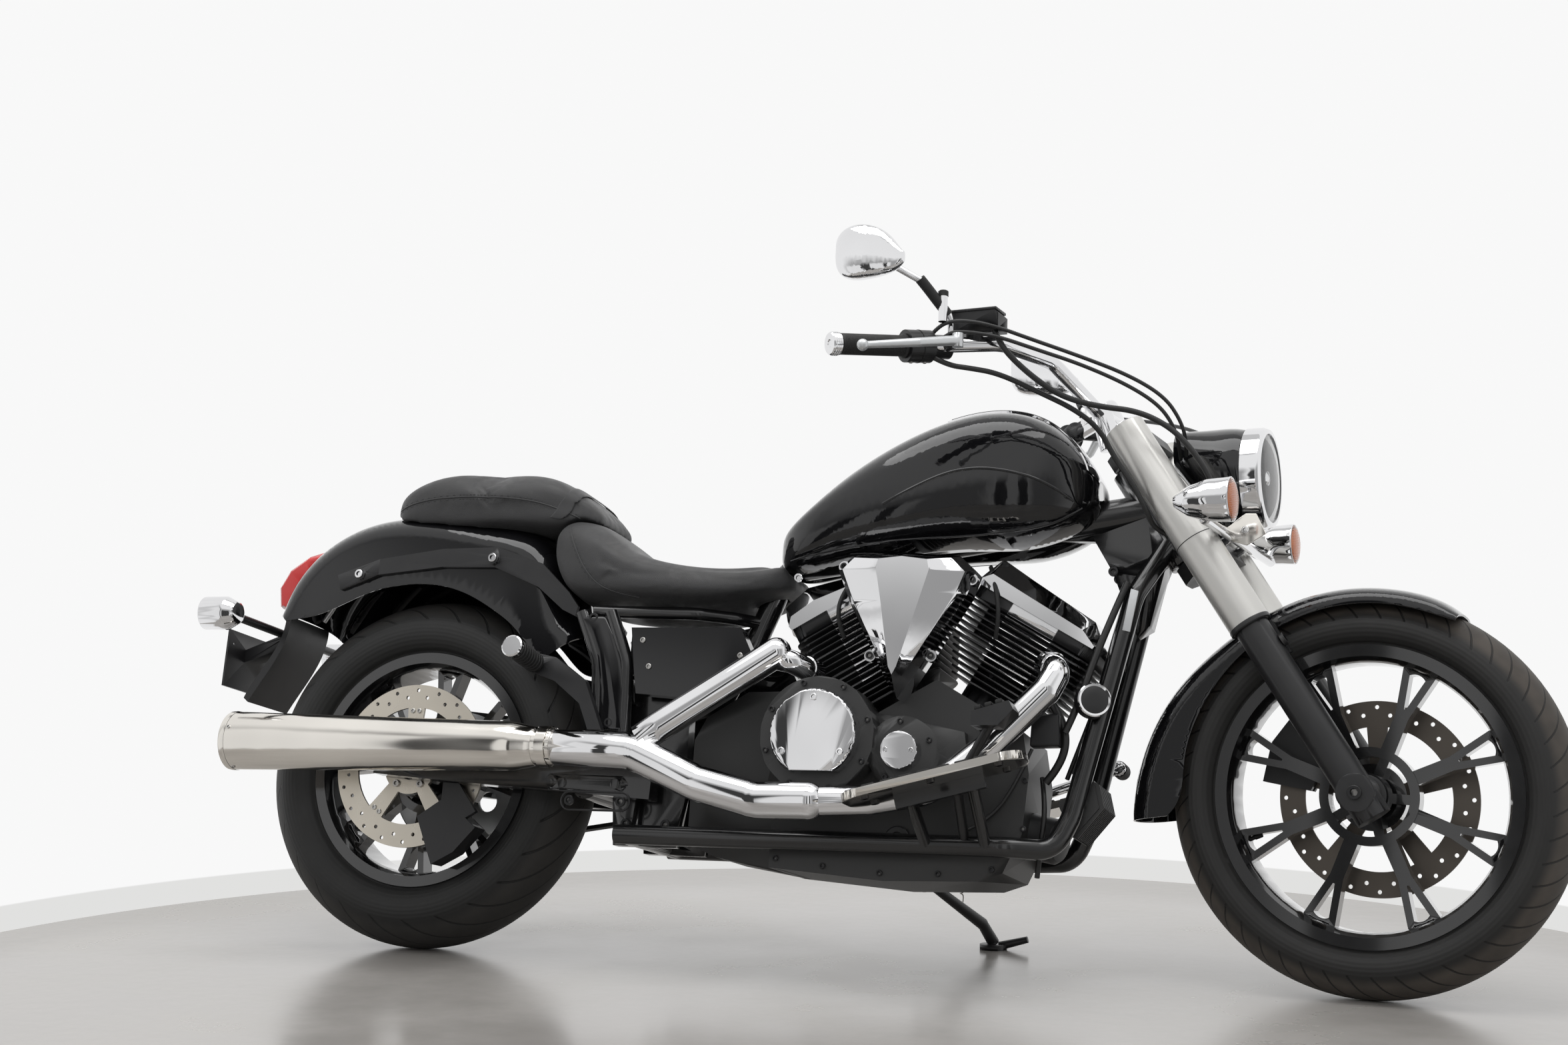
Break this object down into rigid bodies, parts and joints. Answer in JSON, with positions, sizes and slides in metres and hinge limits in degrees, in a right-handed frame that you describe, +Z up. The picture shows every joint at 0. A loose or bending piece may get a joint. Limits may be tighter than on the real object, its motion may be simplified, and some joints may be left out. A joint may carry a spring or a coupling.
{
  "type": "cruiser motorcycle",
  "caption": "Cruiser motorcycle with a V-twin engine, forked cast wheels, teardrop tank, stepped seats and swept bars, leaning on its side stand.",
  "frame": {"origin": "centre of the bounding box's base, on the floor", "axes": "+X forward, +Y towards the rider's left, to which it leans, +Z up"},
  "size_m": [2.436, 1.0481, 1.2551],
  "materials": {
    "gloss_black": "gloss",
    "satin_black": "satin",
    "engine_black": "wrinkled satin with bright fin edges",
    "chrome": "polished",
    "brushed_nickel": "brushed",
    "brushed_steel": "brushed",
    "cast_aluminium": "satin",
    "tyre": "matte",
    "rubber": "matte",
    "leather": "semi-gloss",
    "black_plastic": "matte",
    "red_lens": "clear gloss",
    "lens": "clear"
  },
  "bodies": {
    "chassis": {"air_cleaner": "chrome", "battery_box": "black_plastic", "belt_cover": "satin_black", "brake_pedal": "chrome", "clutch_housing": "satin_black", "drive_belt": "rubber", "engine_caps": "chrome", "engine_case": "engine_black", "fender_struts": "satin_black", "floorboards": "rubber", "frame": "gloss_black", "front_cylinder": "engine_black", "fuel_tank": "gloss_black", "head_covers": "chrome", "header_pipes": "chrome", "horn": "satin_black", "muffler": "chrome", "pillion_pegs": "satin_black", "pillion_seat": "leather", "plate_bracket": "satin_black", "primary_cover": "chrome", "rear_caliper": "satin_black", "rear_cylinder": "engine_black", "rear_fender": "gloss_black", "rear_signals": "chrome", "regulator": "cast_aluminium", "rider_seat": "leather", "shift_lever": "chrome", "side_covers": "gloss_black", "stand_bracket": "satin_black", "swingarm": "gloss_black", "tail_lamp": "red_lens", "tank_console": "chrome"},
    "fork": {"clutch_cable": "rubber", "fork_clamps": "satin_black", "fork_sleeves": "brushed_nickel", "fork_sliders": "satin_black", "front_brake_hose": "rubber", "front_caliper": "satin_black", "front_fender": "gloss_black", "front_signals": "chrome", "grips": "rubber", "hand_controls": "satin_black", "hand_levers": "brushed_steel", "handlebar": "chrome", "headlight_lens": "lens", "headlight_ring": "chrome", "headlight_shell": "chrome", "lower_throttle_cable": "rubber", "mirrors": "chrome", "switch_loom": "rubber", "upper_throttle_cable": "rubber"},
    "front_wheel": {"front_tyre": "tyre", "front_rim": "cast_aluminium", "front_disc": "brushed_steel"},
    "rear_wheel": {"rear_tyre": "tyre", "rear_rim": "cast_aluminium", "rear_disc": "brushed_steel", "rear_pulley": "satin_black"},
    "side_stand": {"side_stand": "satin_black"}
  },
  "joints": [
    {"name": "steering", "type": "hinge", "parent": "chassis", "child": "fork", "pos_m": [0.54586, -0.06734, 0.78596], "axis": [-0.5308, 0.1763, 0.8289], "range_deg": [-26, 44]},
    {"name": "front_wheel_spin", "type": "hinge", "parent": "fork", "child": "front_wheel", "pos_m": [0.90078, -0.17439, 0.31755], "axis": [0.1328, 0.9833, -0.1241], "continuous": true},
    {"name": "rear_wheel_spin", "type": "hinge", "parent": "chassis", "child": "rear_wheel", "pos_m": [-0.78374, -0.16672, 0.31697], "axis": [0.0002, 0.9781, -0.2079], "continuous": true},
    {"name": "side_stand_fold", "type": "hinge", "parent": "chassis", "child": "side_stand", "pos_m": [0.12145, -0.0347, 0.14063], "axis": [0.1028, 0.6642, 0.7405], "range_deg": [0, 105]}
  ]
}
